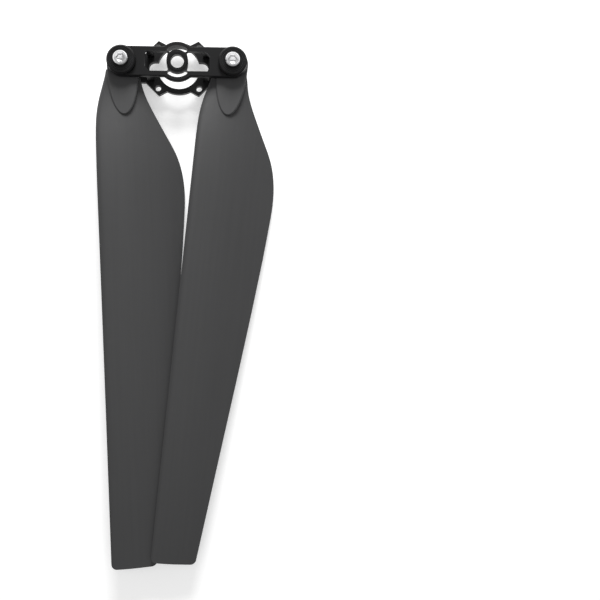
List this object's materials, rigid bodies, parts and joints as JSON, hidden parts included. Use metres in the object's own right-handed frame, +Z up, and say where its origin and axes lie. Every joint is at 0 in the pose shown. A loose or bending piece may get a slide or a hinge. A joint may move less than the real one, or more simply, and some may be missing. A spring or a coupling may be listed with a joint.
{
  "type": "folding propeller",
  "caption": "Folding quick-release drone propeller: slim twisted blades that swing on clamped pivots at the ends of a black hub bar over a lugged quick-release plate.",
  "frame": {"origin": "on the spin axis, in the flat underside of the lower plate that sits on the motor", "axes": "+Z up along the spin axis, X through both blade pivots, blades folded towards -Y at rest"},
  "size_m": [0.0688, 0.2053, 0.0191],
  "materials": {
    "blade": "matte moulded carbon-filled composite, dark grey",
    "plate_top": "satin black anodised",
    "plate_lower": "satin black anodised",
    "collar": "satin black anodised, turned",
    "spacer": "satin black anodised",
    "cap": "satin black anodised, turned",
    "screw": "bright stainless steel",
    "nut": "stainless steel with nylon insert",
    "sleeve": "ground steel",
    "bush": "plain bearing bronze",
    "washer": "natural nylon"
  },
  "bodies": {
    "hub": {"centre_bush": "collar", "lock_nut_left": "nut", "lock_nut_right": "nut", "lower_plate": "plate_lower", "lower_washer_left": "washer", "lower_washer_right": "washer", "pivot_cap_left": "cap", "pivot_cap_right": "cap", "pivot_screw_left": "screw", "pivot_screw_right": "screw", "pivot_sleeve_left": "sleeve", "pivot_sleeve_right": "sleeve", "spacer_front_left": "spacer", "spacer_front_right": "spacer", "spacer_rear_left": "spacer", "spacer_rear_right": "spacer", "top_plate": "plate_top", "upper_washer_left": "washer", "upper_washer_right": "washer"},
    "blade_left": {"blade_left": "blade", "blade_bush_left": "bush"},
    "blade_right": {"blade_right": "blade", "blade_bush_right": "bush"}
  },
  "joints": [
    {"name": "blade_left_fold", "type": "hinge", "parent": "hub", "child": "blade_left", "pos_m": [-0.0211, 0, 0.00615], "axis": [0, 0, 1], "range_deg": [-188.1, 0]},
    {"name": "blade_right_fold", "type": "hinge", "parent": "hub", "child": "blade_right", "pos_m": [0.0211, 0, 0.00615], "axis": [0, 0, 1], "range_deg": [0, 188.1]}
  ]
}
